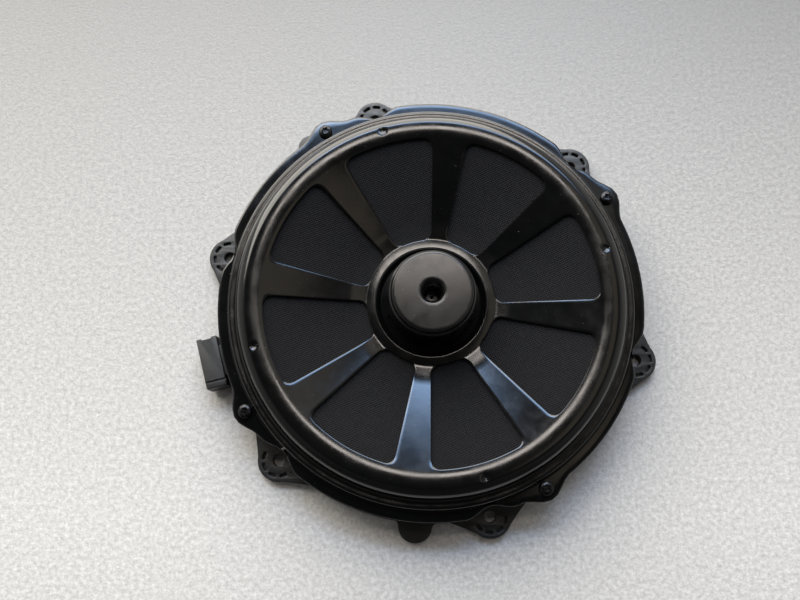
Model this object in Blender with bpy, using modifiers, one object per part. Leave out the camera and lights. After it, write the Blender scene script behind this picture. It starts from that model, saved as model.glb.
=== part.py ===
"""A shallow car subwoofer: steel basket, neodymium motor, cone and plastic mounting ring.

The loudspeaker lies on its front, with +Z away from the listener. z = 0 is the plane of the
ears that bolt to the vehicle. The origin is the middle of the outline, so the axis of the
cone stands a little off it: the plug and the locating tab each stick out on one side only.
All dimensions below are in millimetres and angles are in degrees from +X.
"""

import math

import bmesh
import bpy

MM = 0.001
GAP = 0.3  # between pieces that touch

# Plan
AXIS_X, AXIS_Y = 2.0, 1.2  # the cone's axis, from the middle of the outline
EAR_ANGLES = [45 + 60 * k for k in range(6)]
EAR_PITCH_R, EAR_HOLE_R, EAR_TIP_R, EAR_HALF = 126.0, 3.3, 12.3, 10.5
SMALL_EAR_ANGLE, SMALL_EAR_PITCH_R, SMALL_EAR_TIP_R, SMALL_EAR_HALF = 125.0, 127.0, 8.0, 7.0
TAB_ANGLE, TAB_PITCH_R, TAB_TIP_R, TAB_HALF = 265.3, 126.8, 9.8, 4.6
SCREW_ANGLES = [30.4 + 90 * k for k in range(4)]
SCREW_PITCH_R, SCREW_HEAD_R, SCREW_SHAFT_R = 122.4, 4.0, 1.9
PLUG_ANGLE = 194.4

# Mounting ring
BASE_R, BASE_TOP, RING_INNER_R = 125.4, 5.4, 113.0
WALL_R, WALL_THICK, RING_TOP, SHELF_THICK = 122.6, 3.0, 23.2, 2.8
BOLT_ROOM, BOLT_ROOM_HALF = 5.0, 8.5  # how far the wall steps in to leave room for an ear's bolt head
SEAL_INNER_R, SEAL_OUTER_R, SEAL_DEPTH = 117.6, 121.8, 1.7

# Basket, as the rear surface of the sheet
STEEL = 1.2
FLANGE_R, LOBE_REACH, LOBE_HALF, SCALLOP, SCALLOP_HALF = 123.7, 5.9, 7.5, 4.7, 7.0
FLANGE_TOP = RING_TOP + GAP + STEEL
HUB_HOLE_R, HUB_FLOOR_TOP = 21.2, 21.5
WEB = [(32.4, 25.6), (37.0, 26.0), (46.0, 27.6), (93.0, 38.6)]
CREST = [(99.5, 40.1), (101.8, 40.9), (104.3, 41.5), (108.2, 40.1), (109.8, 38.0), (110.2, 36.5)]
SKIRT = [(111.3, 30.4), (112.2, 29.3), (115.9, 29.9), (116.9, 28.4), (117.8, 25.0)]
SPOKES, FIRST_SPOKE, SPOKE_HALF = 8, 37.6, 6.1
WINDOW_INNER_R, WINDOW_OUTER_R, WINDOW_CORNER = 36.9, 95.1, 5.5

# Motor
CUP_R, CUP_FACE_R, CUP_TOP, CUP_BORE_R, CUP_CEILING = 24.2, 21.6, 55.0, 20.9, 49.3
VENT_R, MAGNET_R, TOP_PLATE_R = 5.2, 17.2, 17.9
TOP_PLATE_Z = (24.0, 31.3)
FORMER_R, FORMER_THICK, FORMER_Z = 18.5, 0.4, (9.8, 40.5)
WINDING_THICK, WINDING_Z = 1.1, (18.4, 36.6)

# Moving parts
CONE_INNER_R, CONE_OUTER_R, CONE_NECK_Z, CONE_SLOPE, CONE_THICK = 19.3, 91.0, 10.9, 0.15, 1.6
CAP_R, CAP_Z, CAP_RISE, CAP_THICK = 29.5, 7.8, 2.6, 1.0
ROLL_INNER_R, ROLL_OUTER_R, ROLL_HEIGHT, SURROUND_THICK = 91.6, 108.0, 8.0, 1.0
SURROUND_RIM_R, SURROUND_RIM_TOP = 114.6, 27.7
SPIDER_OUTER_R, SPIDER_FLAT_R, SPIDER_THICK, SPIDER_RISE = 57.2, 53.0, 0.7, 9.1
SPIDER_NECK_Z, SPIDER_WAVES, SPIDER_WAVE = 13.6, 5, 0.8
SCREEN_INNER_R, SCREEN_OUTER_R, SCREEN_THICK, SCREEN_DROP = 34.2, 97.0, 0.6, 1.6

# Plug and leads: x is radial and y is along the rim, both from the axis at PLUG_ANGLE
PLUG_X, PLUG_Y, PLUG_Z = (125.9, 138.0), (-15.0, 15.0), (1.4, 16.6)
PLUG_NECK_X, PLUG_NECK_Y, PLUG_NECK_Z = (122.6, 127.5), (-9.0, 9.0), (5.8, 15.4)
SOCKET_X, SOCKET_Y, SOCKET_Z = (127.4, 136.5), (-20.0, 9.0), (3.0, 15.0)
BOARD_X, BOARD_Y, BOARD_Z = (114.4, 118.4), (-10.0, 10.0), (5.9, 20.0)
BLADES = [(5.0, 6.6), (-2.0, 12.0)]  # each blade's y and its lower face's z
BLADE_WIDE, BLADE_THICK, BLADE_TIP_X, BLADE_TURN_X, BLADE_END_Y = 2.8, 0.8, 112.4, 132.0, -9.0
LEAD_R, LEAD_SAG, EYELET_X, EYELET_R, EYELET_SHAFT_R = 0.7, 4.0, 84.0, 2.4, 1.1

STEPS, MOTOR_STEPS, SMALL_STEPS = 60, 40, 16


def clear_scene():
    for old in list(bpy.data.objects):
        bpy.data.objects.remove(old, do_unlink=True)
    for old in list(bpy.data.collections):
        bpy.data.collections.remove(old)


def new_collection(name):
    group = bpy.data.collections.new(name)
    bpy.context.scene.collection.children.link(group)
    return group


clear_scene()
PARTS = new_collection("car_subwoofer")
CUTTERS = new_collection("cutters")


def new_empty(name, parent=None):
    empty = bpy.data.objects.new(name, None)
    PARTS.objects.link(empty)
    empty.parent = parent
    return empty


AXIS = new_empty("speaker_axis")
AXIS.location = (AXIS_X * MM, AXIS_Y * MM, 0)
TRAVEL = new_empty("cone_travel", AXIS)  # everything that moves with the cone


def paint(name, colour, roughness, metallic=0.0):
    surface = bpy.data.materials.new(name)
    surface.use_nodes = True
    shader = surface.node_tree.nodes["Principled BSDF"]
    shader.inputs["Base Color"].default_value = (*colour, 1.0)
    shader.inputs["Roughness"].default_value = roughness
    shader.inputs["Metallic"].default_value = metallic
    return surface


# Building blocks


def polar(radius, degrees):
    turn = math.radians(degrees)
    return radius * math.cos(turn), radius * math.sin(turn)


def circle(radius, count, at=(0.0, 0.0)):
    around = (polar(radius, 360 * k / count) for k in range(count))
    return [(at[0] + x, at[1] + y) for x, y in around]


def away(degrees, other):
    """The angle from one direction to another, between -180 and 180."""
    return (degrees - other + 180) % 360 - 180


def bump(degrees, centre, half_width):
    """A smooth hill, 1 high at its centre and 0 from half_width on."""
    off = abs(away(degrees, centre))
    return 0.5 + 0.5 * math.cos(math.pi * off / half_width) if off < half_width else 0.0


def part(thing, name, surface, parent=AXIS):
    """Makes an object one of the loudspeaker's parts."""
    thing.name = name
    thing.data.name = name
    thing.data.materials.clear()
    thing.data.materials.append(surface)
    PARTS.objects.link(thing)
    thing.parent = parent
    if thing.type == "MESH":
        thing.data.shade_smooth()
        thing.data.set_sharp_from_angle(angle=math.radians(30))
    return thing


def cutter(thing, name):
    thing.name = name
    CUTTERS.objects.link(thing)
    thing.parent = AXIS
    thing.hide_render = True
    thing.display_type = "WIRE"
    return thing


def combine(thing, other, operation="DIFFERENCE"):
    step = thing.modifiers.new(other.name, "BOOLEAN")
    step.operation = operation
    step.solver = "EXACT"
    step.object = other


def turned(points, steps=STEPS, closed=True, thickness=None):
    """A profile of (radius, height) turned about Z; an open one gets its thickness inwards."""
    mesh = bpy.data.meshes.new("profile")
    edges = [(k, k + 1) for k in range(len(points) - 1)]
    if closed:
        edges.append((len(points) - 1, 0))
    mesh.from_pydata([(r * MM, 0, z * MM) for r, z in points], edges, [])
    thing = bpy.data.objects.new("turned", mesh)
    screw = thing.modifiers.new("turn", "SCREW")
    screw.axis = "Z"
    screw.steps = screw.render_steps = steps
    screw.use_merge_vertices = True
    screw.merge_threshold = 0.00001
    if thickness:
        shell = thing.modifiers.new("thickness", "SOLIDIFY")
        shell.thickness = thickness * MM
        shell.offset = -1
        shell.use_even_offset = True
    return thing


def tube(inner, outer, bottom, top, steps=STEPS):
    return turned([(inner, top), (outer, top), (outer, bottom), (inner, bottom)], steps)


def slab(outlines, bottom, top):
    """A flat plate between two heights, cut to its outlines; an inner outline is a hole."""
    curve = bpy.data.curves.new("outline", "CURVE")
    curve.dimensions = "2D"
    curve.fill_mode = "BOTH"
    curve.extrude = (top - bottom) / 2 * MM
    for outline in outlines:
        spline = curve.splines.new("POLY")
        spline.points.add(len(outline) - 1)
        spline.use_cyclic_u = True
        for point, (x, y) in zip(spline.points, outline):
            point.co = (x * MM, y * MM, 0, 1)
    flat = bpy.data.objects.new("outline", curve)
    CUTTERS.objects.link(flat)
    flat.location.z = (bottom + top) / 2 * MM
    graph = bpy.context.evaluated_depsgraph_get()
    mesh = bpy.data.meshes.new_from_object(flat.evaluated_get(graph))
    shape = bmesh.new()
    shape.from_mesh(mesh)
    bmesh.ops.remove_doubles(shape, verts=shape.verts, dist=0.000001)
    shape.to_mesh(mesh)
    shape.free()
    thing = bpy.data.objects.new("slab", mesh)
    thing.matrix_world = flat.matrix_world
    thing.location.z = flat.location.z
    bpy.data.objects.remove(flat)
    return thing


def box(x, y, z, angle=0.0, bevel=0.0):
    """A box between limits, turned about the axis so that its x is the radius at the angle."""
    mesh = bpy.data.meshes.new("box")
    shape = bmesh.new()
    bmesh.ops.create_cube(shape, size=1.0)
    for vert in shape.verts:
        for k, (low, high) in enumerate((x, y, z)):
            vert.co[k] = (low if vert.co[k] < 0 else high) * MM
    shape.to_mesh(mesh)
    shape.free()
    thing = bpy.data.objects.new("box", mesh)
    thing.rotation_euler.z = math.radians(angle)
    if bevel:
        soft = thing.modifiers.new("edges", "BEVEL")
        soft.width = bevel * MM
        soft.segments = 2
    return thing


def rod(radius, bottom, top, at, sides=SMALL_STEPS):
    mesh = bpy.data.meshes.new("rod")
    shape = bmesh.new()
    bmesh.ops.create_cone(
        shape, cap_ends=True, segments=sides, radius1=radius * MM, radius2=radius * MM, depth=(top - bottom) * MM
    )
    shape.to_mesh(mesh)
    shape.free()
    thing = bpy.data.objects.new("rod", mesh)
    thing.location = (at[0] * MM, at[1] * MM, (bottom + top) / 2 * MM)
    return thing


def fillet(before, corner, after, radius, count=4):
    """Points of the arc that rounds a corner of an outline."""
    sides = []
    for end in (before, after):
        dx, dy = end[0] - corner[0], end[1] - corner[1]
        long = math.hypot(dx, dy)
        sides.append((dx / long, dy / long))
    (ax, ay), (bx, by) = sides
    half = math.acos(max(-1.0, min(1.0, ax * bx + ay * by))) / 2
    reach = radius / math.tan(half)
    mx, my = ax + bx, ay + by
    scale = radius / math.sin(half) / math.hypot(mx, my)
    middle = (corner[0] + mx * scale, corner[1] + my * scale)
    start = math.atan2(corner[1] + ay * reach - middle[1], corner[0] + ax * reach - middle[0])
    end = math.atan2(corner[1] + by * reach - middle[1], corner[0] + bx * reach - middle[0])
    sweep = (end - start + math.pi) % (2 * math.pi) - math.pi
    turns = (start + sweep * k / count for k in range(count + 1))
    return [(middle[0] + radius * math.cos(t), middle[1] + radius * math.sin(t)) for t in turns]


# Shapes that several pieces share


def web_height(radius):
    """The height of the spokes' rear surface, straight on past the last point."""
    for (r0, z0), (r1, z1) in zip(WEB, WEB[1:]):
        if radius <= r1:
            break
    return z0 + (z1 - z0) * (radius - r0) / (r1 - r0)


def cone_height(radius):
    return CONE_NECK_Z + CONE_SLOPE * (radius - CONE_INNER_R)


def ear(angle, pitch, tip, half):
    """An ear's outline: a round tip that runs straight down to a foot on each side."""
    turns = [angle + 54 * k / 4 for k in range(-4, 5)]
    middle = polar(pitch, angle)
    arc = [(middle[0] + x, middle[1] + y) for x, y in (polar(tip, turn) for turn in turns)]
    return [polar(BASE_R, angle - half), *arc, polar(BASE_R, angle + half)]


def base_outline():
    """The ring's foot: a circle with the ears and the locating tab."""
    ears = [(angle, EAR_PITCH_R, EAR_TIP_R, EAR_HALF) for angle in EAR_ANGLES]
    ears.append((SMALL_EAR_ANGLE, SMALL_EAR_PITCH_R, SMALL_EAR_TIP_R, SMALL_EAR_HALF))
    ears.append((TAB_ANGLE, TAB_PITCH_R, TAB_TIP_R, TAB_HALF))
    ears.sort()
    points = []
    for here, following in zip(ears, ears[1:] + ears[:1]):
        points += ear(*here)
        start = here[0] + here[3]
        reach = (following[0] - following[3] - start) % 360
        count = math.ceil(reach / 7)
        points += [polar(BASE_R, start + reach * k / count) for k in range(1, count)]
    return points


def wall_radius(degrees):
    return WALL_R - BOLT_ROOM * max(bump(degrees, ear, BOLT_ROOM_HALF) for ear in EAR_ANGLES)


def flange_radius(degrees):
    lobes = LOBE_REACH * max(bump(degrees, screw, LOBE_HALF) for screw in SCREW_ANGLES)
    scallops = SCALLOP * max(bump(degrees, ear, SCALLOP_HALF) for ear in EAR_ANGLES)
    return FLANGE_R + lobes - scallops


def around(radius_at, bends, inset=0.0):
    """An outline from a radius that depends on the angle; bends lists where it isn't round."""
    turns = [6 * k + 1.3 for k in range(60)]
    turns = [turn for turn in turns if all(abs(away(turn, at)) > half + 1 for at, half in bends)]
    for at, half in bends:
        turns += [(at + half * k / 4) % 360 for k in range(-4, 5)]
    return [polar(radius_at(turn) - inset, turn) for turn in sorted(turns)]


def window(number):
    """The outline of one window between two spokes, with round corners."""
    start = FIRST_SPOKE + 360 / SPOKES * number + SPOKE_HALF
    end = start + 360 / SPOKES - 2 * SPOKE_HALF
    outer = [polar(WINDOW_OUTER_R, start + (end - start) * k / 8) for k in range(9)]
    inner = [polar(WINDOW_INNER_R, end - (end - start) * k / 3) for k in range(4)]
    points = []
    corners = {outer[0], outer[-1], inner[0], inner[-1]}
    loop = outer + inner
    for k, here in enumerate(loop):
        if here in corners:
            points += fillet(loop[k - 1], here, loop[(k + 1) % len(loop)], WINDOW_CORNER)
        elif min(math.dist(here, corner) for corner in corners) > WINDOW_CORNER:
            points.append(here)
    return points


# Pieces


def build_basket(steel):
    """Pressed sheet: hub, spokes, rolled crest, skirt and flange."""
    hub = [(HUB_HOLE_R, HUB_FLOOR_TOP), (28.6, HUB_FLOOR_TOP), (31.0, 23.2)]
    flange = [(119.6, FLANGE_TOP), (FLANGE_R + LOBE_REACH + 1, FLANGE_TOP)]
    basket = turned(hub + WEB + CREST + SKIRT + flange, closed=False, thickness=STEEL)
    windows = slab([window(k) for k in range(SPOKES)], HUB_FLOOR_TOP, CREST[1][1])
    bends = [(angle, LOBE_HALF) for angle in SCREW_ANGLES] + [(angle, SCALLOP_HALF) for angle in EAR_ANGLES]
    trim = [circle(SCREW_PITCH_R + 20, 30), around(flange_radius, bends)]
    trim += [circle(SCREW_SHAFT_R + 0.5, 12, polar(SCREW_PITCH_R, angle)) for angle in SCREW_ANGLES]
    combine(basket, cutter(windows, "window_cutter"))
    combine(basket, cutter(slab(trim, RING_TOP - 2, FLANGE_TOP + 2), "flange_trim"))
    part(basket, "basket", steel)


def slot_cutters(name):
    """Openings through the rim for the two contact blades."""
    found = []
    for k, (y, z) in enumerate(BLADES):
        half = BLADE_WIDE / 2 + GAP
        opening = box((105, BLADE_TURN_X), (y - half, y + half), (z - GAP, z + BLADE_THICK + GAP), PLUG_ANGLE)
        found.append(cutter(opening, f"{name}_{k + 1}"))
    return found


def build_mounting_ring(plastic, slots):
    """Moulded ring: base with ears, wall, shelf under the flange, and screw bosses."""
    bends = [(angle, BOLT_ROOM_HALF) for angle in EAR_ANGLES]
    ears = [circle(EAR_HOLE_R, SMALL_STEPS, polar(EAR_PITCH_R, angle)) for angle in EAR_ANGLES]
    ring = slab([base_outline(), circle(RING_INNER_R, STEPS), *ears], 0, BASE_TOP)
    wall = slab([around(wall_radius, bends, 0.4), around(wall_radius, bends, WALL_THICK)], 2.5, RING_TOP - 1)
    shelf = slab([around(wall_radius, bends), circle(RING_INNER_R, STEPS)], RING_TOP - SHELF_THICK, RING_TOP)
    combine(ring, cutter(wall, "ring_wall"), "UNION")
    combine(ring, cutter(shelf, "ring_shelf"), "UNION")
    for k, angle in enumerate(SCREW_ANGLES):
        at = polar(SCREW_PITCH_R, angle)
        boss = rod(5.2, 3, RING_TOP - 0.2, at)
        hole = rod(SCREW_SHAFT_R + GAP, 7.5, RING_TOP + 2, at)
        combine(ring, cutter(boss, f"screw_boss_{k + 1}"), "UNION")
        combine(ring, cutter(hole, f"screw_hole_{k + 1}"))
    groove = tube(SEAL_INNER_R, SEAL_OUTER_R, -2, SEAL_DEPTH)
    combine(ring, cutter(groove, "seal_groove"))
    for slot in slots:
        combine(ring, slot)
    part(ring, "mounting_ring", plastic)


def build_seals(foam):
    seal = tube(SEAL_INNER_R + GAP, SEAL_OUTER_R - GAP, 0, SEAL_DEPTH - GAP)
    part(seal, "seal_gasket", foam)
    rim_bottom = SURROUND_RIM_TOP - SURROUND_THICK
    gasket = tube(RING_INNER_R + 0.2, SURROUND_RIM_R - 0.2, RING_TOP + GAP, rim_bottom - 0.4)
    part(gasket, "surround_gasket", foam)


def build_screws(zinc):
    """Pan-head screws with a six-sided recess."""
    seat = FLANGE_TOP + GAP
    head = [(0, seat + 2.6), (2.4, seat + 2.6), (3.6, seat + 2.0), (SCREW_HEAD_R, seat + 0.9), (SCREW_HEAD_R, seat)]
    shaft = [(SCREW_SHAFT_R, seat), (SCREW_SHAFT_R, 9.2), (0.8, 8.0), (0, 8.0)]
    for k, angle in enumerate(SCREW_ANGLES):
        screw = turned(head + shaft, SMALL_STEPS, closed=False)
        x, y = polar(SCREW_PITCH_R, angle)
        screw.location = (x * MM, y * MM, 0)
        recess = rod(1.7, seat + 1.0, seat + 4, (x, y), sides=6)
        combine(screw, cutter(recess, f"screw_recess_{k + 1}"))
        part(screw, f"basket_screw_{k + 1}", zinc)


def build_dust_screen(cloth):
    radii = [SCREEN_INNER_R, WEB[1][0], WEB[2][0], WEB[3][0], SCREEN_OUTER_R]
    profile = [(r, web_height(r) - SCREEN_DROP) for r in radii]
    part(turned(profile, closed=False, thickness=SCREEN_THICK), "dust_screen", cloth)


def build_motor(steel, magnet_finish, zinc):
    shoulder = [(CUP_FACE_R - 1, CUP_TOP), (CUP_FACE_R, CUP_TOP - 0.8), (CUP_FACE_R + 0.8, CUP_TOP - 3.6)]
    side = [(CUP_R, CUP_TOP - 4.6), (CUP_R, HUB_FLOOR_TOP + GAP), (CUP_BORE_R, HUB_FLOOR_TOP + GAP)]
    inside = [(CUP_BORE_R, CUP_CEILING), (VENT_R, CUP_CEILING)]
    rim = [(VENT_R, CUP_TOP - 1.6), (VENT_R + 1.2, CUP_TOP)]
    part(turned(rim + shoulder + side + inside, MOTOR_STEPS), "motor_cup", steel)
    plate_bottom, plate_top = TOP_PLATE_Z
    magnet = tube(VENT_R, MAGNET_R, plate_top + GAP, CUP_CEILING - GAP, MOTOR_STEPS)
    part(magnet, "magnet", magnet_finish)
    part(tube(2.5, TOP_PLATE_R, plate_bottom, plate_top, MOTOR_STEPS), "top_plate", steel)
    seat = plate_top + GAP
    head = [(0.9, seat + 6.4), (3.6, seat + 6.4), (4.7, seat + 5.4), (4.7, seat)]
    stem = [(2.2, seat), (2.2, plate_bottom), (0.9, plate_bottom)]
    part(turned(head + stem, SMALL_STEPS), "centre_rivet", zinc)


def build_voice_coil(aluminium, copper):
    outer = FORMER_R + FORMER_THICK
    part(tube(FORMER_R, outer, *FORMER_Z, MOTOR_STEPS), "voice_coil_former", aluminium, TRAVEL)
    inner = outer + GAP
    part(tube(inner, inner + WINDING_THICK, *WINDING_Z, MOTOR_STEPS), "voice_coil_winding", copper, TRAVEL)


def build_suspension(cloth, plastic, rubber):
    """The corrugated spider with its support ring, and the half-roll surround."""
    wave = []
    count = 2 * SPIDER_WAVES
    for k in range(count + 1):
        along = k / count
        rise = SPIDER_RISE * along**1.6 + SPIDER_WAVE * (0 if k in (0, count) else (-1) ** k)
        wave.append((CONE_INNER_R + (SPIDER_FLAT_R - CONE_INNER_R) * along, SPIDER_NECK_Z + rise))
    wave.append((SPIDER_OUTER_R, SPIDER_NECK_Z + SPIDER_RISE))
    part(turned(wave, 32, closed=False, thickness=SPIDER_THICK), "spider", cloth)
    inner, outer = SPIDER_FLAT_R + 0.4, SPIDER_OUTER_R + 0.4
    drop = SCREEN_DROP + SCREEN_THICK + 2 * GAP
    bottom = SPIDER_NECK_Z + SPIDER_RISE + 0.4
    top = [(r, web_height(r) - drop) for r in (inner, outer)]
    part(turned(top + [(outer, bottom), (inner, bottom)], MOTOR_STEPS), "spider_support", plastic)

    inner_r = CONE_OUTER_R - 3.4
    lift = SURROUND_THICK + 0.4
    start = (ROLL_INNER_R, cone_height(ROLL_INNER_R) + lift)
    end = (ROLL_OUTER_R, SURROUND_RIM_TOP)
    roll = [(inner_r, cone_height(inner_r) + lift), start]
    for k in range(1, 7):
        turn = math.pi * k / 7
        along = 0.5 - 0.5 * math.cos(turn)
        chord = start[1] + (end[1] - start[1]) * along
        roll.append((start[0] + (end[0] - start[0]) * along, chord + ROLL_HEIGHT * math.sin(turn)))
    roll += [end, (SURROUND_RIM_R, SURROUND_RIM_TOP)]
    part(turned(roll, 48, closed=False, thickness=SURROUND_THICK), "surround", rubber)


def on_plug_line(x, y):
    """The plan position of a point given along and across the plug's radius."""
    turn = math.radians(PLUG_ANGLE)
    return x * math.cos(turn) - y * math.sin(turn), x * math.sin(turn) + y * math.cos(turn)


def build_cone(pulp, zinc):
    profile = [(r, cone_height(r)) for r in (CONE_INNER_R, 55.0, CONE_OUTER_R)]
    cone = turned(profile, closed=False, thickness=CONE_THICK)
    for k, (y, _) in enumerate(BLADES):
        at = on_plug_line(EYELET_X, y)
        combine(cone, cutter(rod(EYELET_SHAFT_R + GAP, 10, 30, at), f"eyelet_hole_{k + 1}"))
        rear = cone_height(math.hypot(*at)) + 0.7
        front = rear - 1.4 - CONE_THICK
        top = [(0, rear + 0.5), (EYELET_R, rear + 0.5), (EYELET_R, rear), (EYELET_SHAFT_R, rear)]
        foot = [(EYELET_SHAFT_R, front), (EYELET_R, front), (EYELET_R, front - 0.5), (0, front - 0.5)]
        eyelet = turned(top + foot, SMALL_STEPS, closed=False)
        eyelet.location = (at[0] * MM, at[1] * MM, 0)
        part(eyelet, f"cone_eyelet_{k + 1}", zinc, TRAVEL)
    part(cone, "cone", pulp, TRAVEL)
    radii = [CAP_R * k / 4 for k in range(5)]
    cap = [(r, CAP_Z + CAP_RISE * (r / CAP_R) ** 2) for r in radii]
    part(turned(cap, MOTOR_STEPS, closed=False, thickness=CAP_THICK), "dust_cap", pulp, TRAVEL)


def build_plug(plastic, slots):
    """A shroud that opens along the rim, with a keying notch and a latch groove."""
    plug = box(PLUG_X, PLUG_Y, PLUG_Z, PLUG_ANGLE, bevel=0.5)
    neck = box(PLUG_NECK_X, PLUG_NECK_Y, PLUG_NECK_Z, PLUG_ANGLE)
    socket = box(SOCKET_X, SOCKET_Y, SOCKET_Z, PLUG_ANGLE)
    notch = box((130.6, 133.4), (PLUG_Y[0] - 2, PLUG_Y[0] + 3), (15, 20), PLUG_ANGLE)
    groove = box((120, 145), (10.6, 12.0), (PLUG_Z[1] - 1, 20), PLUG_ANGLE)
    combine(plug, cutter(neck, "plug_neck"), "UNION")
    combine(plug, cutter(socket, "plug_socket"))
    combine(plug, cutter(notch, "plug_notch"))
    combine(plug, cutter(groove, "plug_groove"))
    for slot in slots:
        combine(plug, slot)
    part(plug, "connector_housing", plastic)


def build_contacts(plastic, brass, copper, slots):
    board = box(BOARD_X, BOARD_Y, BOARD_Z, PLUG_ANGLE)
    for slot in slots:
        combine(board, slot)
    part(board, "terminal_board", plastic)
    half = BLADE_WIDE / 2
    for k, (y, z) in enumerate(BLADES):
        inner, outer = BLADE_TURN_X - half, BLADE_TURN_X + half
        bend = [(BLADE_TIP_X, y - half), (inner, y - half), (inner, BLADE_END_Y), (outer, BLADE_END_Y)]
        back = [(outer, y + half), (BLADE_TIP_X, y + half)]
        outline = [on_plug_line(*point) for point in bend + back]
        part(slab([outline], z, z + BLADE_THICK), f"contact_blade_{k + 1}", brass)
        part(lead(y, z + BLADE_THICK / 2), f"tinsel_lead_{k + 1}", copper)


def lead(y, start_z):
    """A braided lead that hangs from a blade's tip to its eyelet in the cone."""
    start_x, count = BLADE_TIP_X - 0.4, 14
    end_z = cone_height(EYELET_X) - CONE_THICK - 1.8 - LEAD_R
    curve = bpy.data.curves.new("lead", "CURVE")
    curve.dimensions = "3D"
    curve.bevel_depth = LEAD_R * MM
    curve.bevel_resolution = 2
    curve.use_fill_caps = True
    spline = curve.splines.new("POLY")
    spline.points.add(count)
    for k, point in enumerate(spline.points):
        along = k / count
        x, across = on_plug_line(start_x + (EYELET_X - start_x) * along, y)
        z = start_z + (end_z - start_z) * along - LEAD_SAG * math.sin(math.pi * along)
        point.co = (x * MM, across * MM, z * MM, 1)
    return bpy.data.objects.new("lead", curve)


def build():
    black_steel = paint("painted_steel", (0.012, 0.012, 0.014), 0.32)
    black_plastic = paint("filled_plastic", (0.022, 0.022, 0.022), 0.6)
    black_cloth = paint("screen_cloth", (0.012, 0.013, 0.017), 0.9)
    spider_cloth = paint("spider_cloth", (0.45, 0.36, 0.2), 0.9)
    foam = paint("foam", (0.03, 0.03, 0.03), 0.95)
    rubber = paint("surround_rubber", (0.015, 0.015, 0.016), 0.7)
    pulp = paint("cone_pulp", (0.025, 0.025, 0.027), 0.75)
    zinc = paint("black_zinc", (0.03, 0.03, 0.032), 0.35, 0.8)
    plating = paint("nickel_plating", (0.6, 0.6, 0.6), 0.3, 1.0)
    aluminium = paint("former_aluminium", (0.75, 0.75, 0.76), 0.4, 1.0)
    copper = paint("copper", (0.72, 0.36, 0.2), 0.4, 1.0)
    brass = paint("tinned_brass", (0.65, 0.6, 0.48), 0.35, 1.0)

    slots = slot_cutters("blade_slot")
    build_mounting_ring(black_plastic, slots)
    build_basket(black_steel)
    build_seals(foam)
    build_screws(zinc)
    build_dust_screen(black_cloth)
    build_motor(black_steel, plating, zinc)
    build_voice_coil(aluminium, copper)
    build_suspension(spider_cloth, black_plastic, rubber)
    build_cone(pulp, zinc)
    build_plug(black_plastic, slots)
    build_contacts(black_plastic, brass, copper, slots)


build()
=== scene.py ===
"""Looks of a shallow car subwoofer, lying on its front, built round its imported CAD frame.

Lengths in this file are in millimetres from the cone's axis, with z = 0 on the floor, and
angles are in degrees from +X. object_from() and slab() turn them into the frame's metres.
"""

import math

import bmesh
import bpy
import numpy as np
from mathutils import Matrix, Vector


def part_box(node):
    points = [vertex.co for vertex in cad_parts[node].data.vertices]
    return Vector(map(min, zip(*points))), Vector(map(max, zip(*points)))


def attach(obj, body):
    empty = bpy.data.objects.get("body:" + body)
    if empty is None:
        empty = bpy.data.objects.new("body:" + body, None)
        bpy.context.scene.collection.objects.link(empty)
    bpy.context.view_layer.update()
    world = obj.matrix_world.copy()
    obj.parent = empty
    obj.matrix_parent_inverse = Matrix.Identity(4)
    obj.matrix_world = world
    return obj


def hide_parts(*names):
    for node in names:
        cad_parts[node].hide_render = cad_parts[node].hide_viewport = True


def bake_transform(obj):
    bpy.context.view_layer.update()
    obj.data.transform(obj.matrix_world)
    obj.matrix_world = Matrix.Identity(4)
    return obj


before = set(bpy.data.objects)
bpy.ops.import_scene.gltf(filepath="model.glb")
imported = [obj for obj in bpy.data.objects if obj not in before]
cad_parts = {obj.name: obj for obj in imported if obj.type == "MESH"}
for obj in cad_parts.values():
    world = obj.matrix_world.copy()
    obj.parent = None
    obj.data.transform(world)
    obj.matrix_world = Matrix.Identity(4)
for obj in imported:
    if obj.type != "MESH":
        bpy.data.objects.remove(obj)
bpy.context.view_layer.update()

MM = 0.001
cup_low, cup_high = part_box("motor_cup")
AXIS_X = (cup_low.x + cup_high.x) / 2 / MM
AXIS_Y = (cup_low.y + cup_high.y) / 2 / MM

EARS = [45 + 60 * k for k in range(6)]
SCREWS = [30.4 + 90 * k for k in range(4)]
DENTS = [15.3 + 90 * k for k in range(4)]
SPOKES = [37.6 + 45 * k for k in range(8)]
PLUG = 194.4

EAR_PITCH_R, SCREW_PITCH_R = 126.0, 122.4
RING_INNER_R = 113.0
ROLL_INNER_R, ROLL_OUTER_R, ROLL_RIM_Z = 91.6, 108.0, 27.7
SPIDER_INNER_R, SPIDER_OUTER_R = 19.3, 53.0
SCREEN_INNER_R, SCREEN_OUTER_R = 34.2, 97.0

# ---------------------------------------------------------------- geometry helpers


def polar(radius, degrees):
    turn = math.radians(degrees)
    return radius * math.cos(turn), radius * math.sin(turn)


def away(degrees, other):
    return (degrees - other + 180) % 360 - 180


def bump(degrees, centre, half_width):
    """A smooth hill, 1 high at its centre and 0 from half_width on."""
    off = abs(away(degrees, centre))
    return 0.5 + 0.5 * math.cos(math.pi * off / half_width) if off < half_width else 0.0


def on_plug_line(x, y):
    """Plan position of a point given along the plug's radius and along the rim."""
    turn = math.radians(PLUG)
    return x * math.cos(turn) - y * math.sin(turn), x * math.sin(turn) + y * math.cos(turn)


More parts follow.
